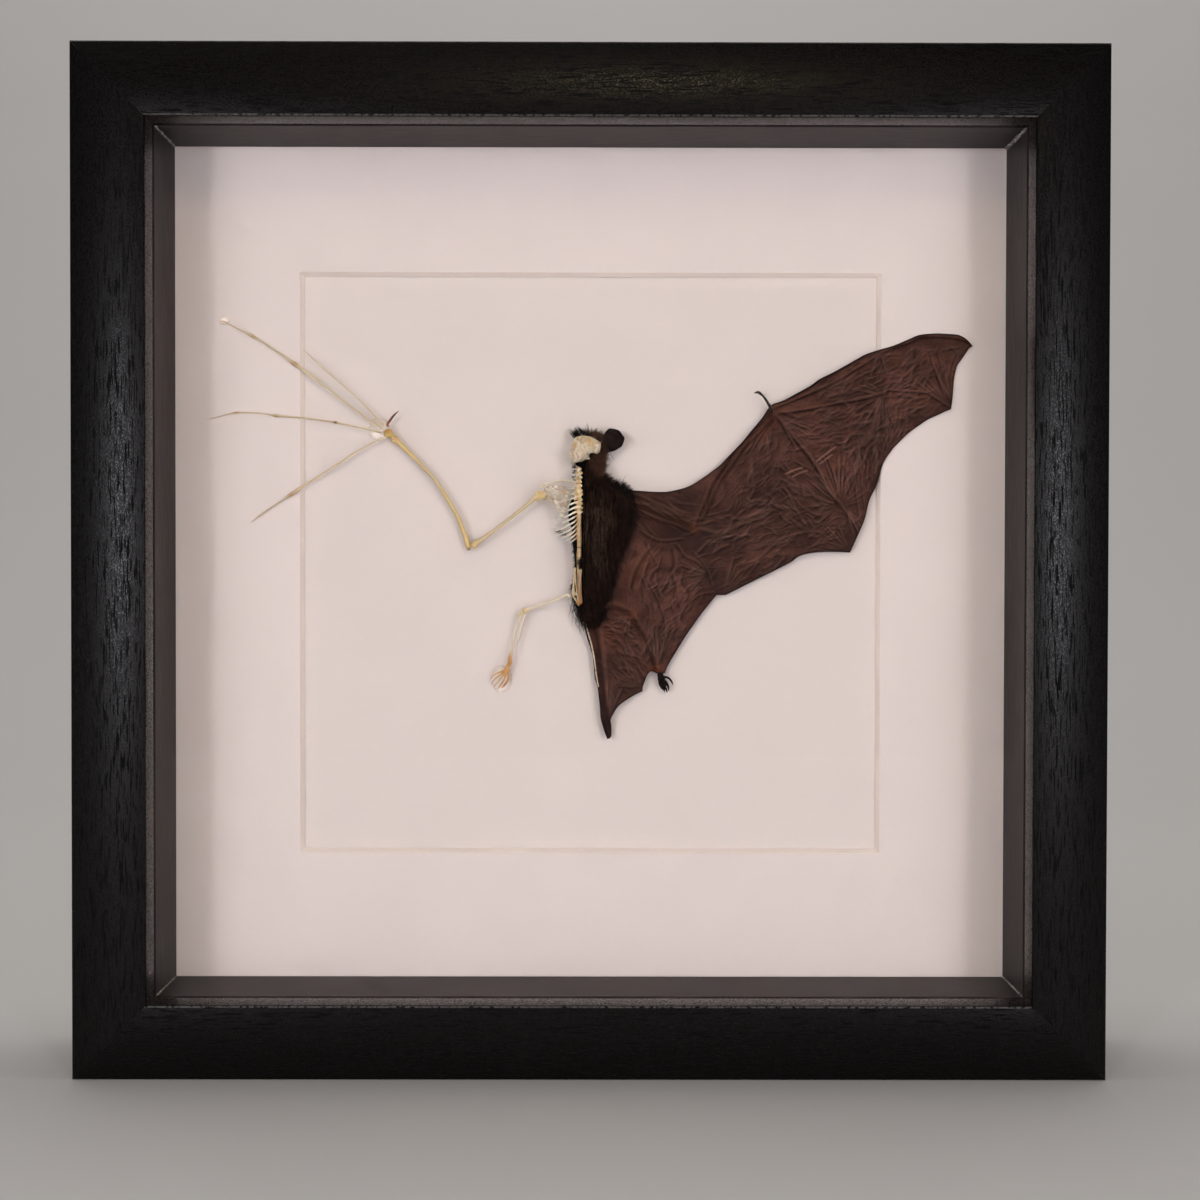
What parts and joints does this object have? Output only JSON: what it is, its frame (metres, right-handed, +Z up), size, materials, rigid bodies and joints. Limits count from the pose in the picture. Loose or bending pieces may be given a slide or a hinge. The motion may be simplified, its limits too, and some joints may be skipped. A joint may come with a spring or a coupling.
{
  "type": "framed bat skeleton",
  "caption": "Bat spread in a deep square box frame behind glass, one half cleaned to the bones, the other half with its fur and wing skin.",
  "frame": {"origin": "middle of the underside of the bottom rail, where the frame stands", "axes": "+Z up, +X to the right seen from the front, +Y to the back; the glass faces -Y"},
  "size_m": [0.25, 0.045, 0.25],
  "materials": {
    "frame_foil": "black foil over fibreboard, embossed with wood grain, low sheen",
    "liner_foil": "dark brownish grey foil with fine grain",
    "glass": "clear picture glass",
    "mat_board": "matt cream board with a bevelled window",
    "backing_card": "matt pale card",
    "hardboard": "brown pressed hardboard",
    "steel": "bright zinc-plated steel strip",
    "bone": "ivory yellow dried bone, slightly translucent",
    "claw": "dark red-brown horn",
    "fur": "near-black brown fur with paler tips",
    "ear_skin": "thin blackish dried skin",
    "wing_skin": "thin dark brown dried wing skin, wrinkled, satin",
    "glue": "clear dried glue"
  },
  "bodies": {
    "root": {"frame_rail_top": "frame_foil", "frame_rail_right": "frame_foil", "frame_rail_bottom": "frame_foil", "frame_rail_left": "frame_foil", "liner_top": "liner_foil", "liner_right": "liner_foil", "liner_bottom": "liner_foil", "liner_left": "liner_foil", "glass_pane": "glass", "mat_board": "mat_board", "backing_card": "backing_card", "back_panel": "hardboard", "retainer_tab_top_1": "steel", "retainer_tab_top_2": "steel", "retainer_tab_right_1": "steel", "retainer_tab_right_2": "steel", "retainer_tab_bottom_1": "steel", "retainer_tab_bottom_2": "steel", "retainer_tab_left_1": "steel", "retainer_tab_left_2": "steel", "hanger": "steel", "hanger_rivet_left": "steel", "hanger_rivet_right": "steel", "skull": "bone", "spine": "bone", "clavicle": "bone", "scapula": "bone", "humerus": "bone", "forearm": "bone", "wrist_bones": "bone", "thumb_bone": "claw", "finger_2": "bone", "finger_3": "bone", "finger_4": "bone", "finger_5": "bone", "pelvis": "bone", "femur": "bone", "tibia": "bone", "fibula": "bone", "foot_bones": "bone", "glue_wrist": "glue", "glue_foot": "glue", "glue_fingertip": "glue", "furred_body": "fur", "ear": "ear_skin", "wing": "wing_skin", "wing_thumb": "claw", "tail_membrane": "wing_skin", "hind_foot": "ear_skin"}
  },
  "joints": []
}
